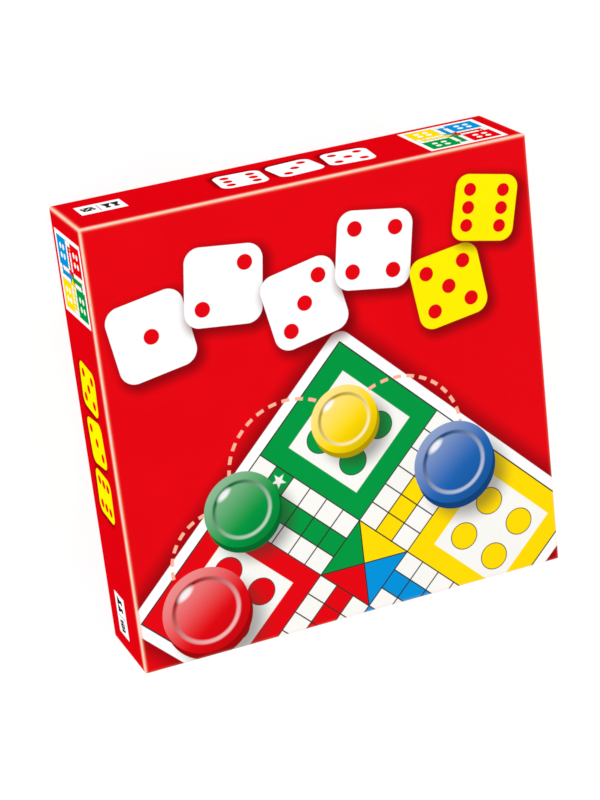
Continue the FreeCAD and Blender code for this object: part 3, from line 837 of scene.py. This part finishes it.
# The left side's top edge and its corner with the back get a painted highlight at full strength; the rest is
# faint wear.
for name, sign, top_rub_and_highlight, corner_rubs_and_highlights in (("left", -1, 1.0, (0.12, 1.0)), ("right", 1, 0.12, (0.12, 0.12))):
    low = (lid_low.x, lid_low.y + SHEET, lid_low.z)
    flap = start_block(f"lid_{name}_print", low, (lid_high.x, lid_high.y - SHEET, face_base))
    pick(flap, "FACE", lambda f: abs(f.normal.z) > 0.5 or sign * f.normal.x < -0.5)
    bpy.ops.mesh.delete(type="FACE")
    bpy.ops.mesh.select_all(action="SELECT")
    bpy.ops.mesh.bisect(plane_co=(sign * (lid_high.x - EAR), 0, 0), plane_no=(sign, 0, 0), clear_inner=True)
    pick(flap, "EDGE", lambda e: abs(run_of(e).z) > 0.01 and sign * middle_of(e).x > lid_high.x - 0.0001)
    bpy.ops.mesh.bevel(offset=EDGE_RADIUS, segments=6, affect="EDGES")
    pick(flap, "EDGE", lambda e: at_rim(e) and sign * middle_of(e).x > lid_high.x - EDGE_RADIUS)
    bpy.ops.mesh.extrude_edges_move()
    bpy.ops.transform.resize(value=(0, inner / lid_high.y, 1), center_override=(sign * inner, 0, 0))
    bpy.ops.mesh.extrude_edges_move(TRANSFORM_OT_translate={"value": (0, 0, TURN_IN)})
    finish_sheet(flap, SHEET)
    paper = side_finish(
        f"lid_{name}_print",
        outward=(sign, 0, 0),
        right=(0, sign, 0),
        dice_ink=YELLOW,
        cross_at=-81.3,
        dice_at=0.0,
        label_at=91.0,
        top_rub_and_highlight=top_rub_and_highlight,
        corner_rubs_and_highlights=corner_rubs_and_highlights,
    )
    glue_to_lid(flap, paper)

# Lid wrap, back and front sides: the last two flaps, folded down over the ears, turned in over the rim,
# and cut just short of the upright corners, so the paper's edge shows there as a fine line.
end = lid_high.x - EDGE_RADIUS - 0.0002
# The back side's top edge and its corner with the left get a painted highlight at full strength; the rest is
# faint wear.
for name, sign, top_rub_and_highlight, corner_rubs_and_highlights in (("back", 1, 1.0, (0.12, 1.0)), ("front", -1, 0.12, (0.12, 0.12))):
    flap = start_block(f"lid_{name}_print", (-end, lid_low.y, lid_low.z), (end, lid_high.y, face_base))
    pick(flap, "FACE", lambda f: sign * f.normal.y < 0.5)
    bpy.ops.mesh.delete(type="FACE")
    pick(flap, "EDGE", at_rim)
    bpy.ops.mesh.extrude_edges_move()
    bpy.ops.transform.resize(value=(inner / end, 0, 1), center_override=(0, sign * inner, 0))
    bpy.ops.mesh.extrude_edges_move(TRANSFORM_OT_translate={"value": (0, 0, TURN_IN)})
    finish_sheet(flap, SHEET)
    paper = side_finish(
        f"lid_{name}_print",
        outward=(0, sign, 0),
        right=(-sign, 0, 0),
        dice_ink=WHITE,
        cross_at=-83.6,
        dice_at=-3.0,
        label_at=90.8,
        top_rub_and_highlight=top_rub_and_highlight,
        corner_rubs_and_highlights=corner_rubs_and_highlights,
    )
    glue_to_lid(flap, paper)

# Studio: a plain white floor, lit from within like a light table, under an even white sky that is dimmer
# where the lid would mirror it, with one soft lamp, and a long lens at the photograph's viewing angle.
bpy.ops.object.select_all(action="DESELECT")
bpy.ops.mesh.primitive_plane_add(size=12.0, location=(0, 0, 0))
floor = bpy.context.object
floor.name = "floor"
floor_finish, tree, shader = new_finish("floor")
shader.inputs["Base Color"].default_value = (0.2, 0.2, 0.2, 1)
shader.inputs["Roughness"].default_value = 0.9
shader.inputs["Specular IOR Level"].default_value = 0.0
shader.inputs["Emission Color"].default_value = (1, 1, 1, 1)
shader.inputs["Emission Strength"].default_value = 0.84
floor.data.materials.append(floor_finish)

world = bpy.data.worlds.new("studio")
bpy.context.scene.world = world
world.use_nodes = True
tree = world.node_tree
sky = tree.nodes["Background"]
sky.inputs["Color"].default_value = (1, 1, 1, 1)
towards = add(tree, "TexCoord").outputs["Generated"]
overhead = spread(tree, vector_calc(tree, "DOT_PRODUCT", towards, (0, 0, 1)), 0.0, 0.7, 1.02, 1.26)
mirrored = vector_calc(tree, "DOT_PRODUCT", towards, (0.313, -0.343, 0.886))
mirrored = spread(tree, mirrored, 0.84, 0.95, 1.0, 0.13, "SMOOTHSTEP")
tree.links.new(calc(tree, "MULTIPLY", overhead, mirrored), sky.inputs["Strength"])

lamp = bpy.data.lights.new("soft_lamp", "AREA")
lamp.energy = 2.0
lamp.size = 1.2
soft_lamp = bpy.data.objects.new("soft_lamp", lamp)
soft_lamp.location = (-1.2, 0.9, 1.4)
soft_lamp.rotation_euler = (math.radians(-33), math.radians(-41), 0)
bpy.context.collection.objects.link(soft_lamp)

camera = bpy.data.cameras.new("camera")
camera.lens = 104.93
camera.sensor_width = 36.0
view = bpy.data.objects.new("camera", camera)
view.location = (-0.35698, 0.39142, 1.01087)
view.rotation_euler = [math.radians(a) for a in (-18.232, -21.729, -6.855)]
bpy.context.collection.objects.link(view)
bpy.context.scene.camera = view
bpy.context.scene.view_settings.view_transform = "Standard"
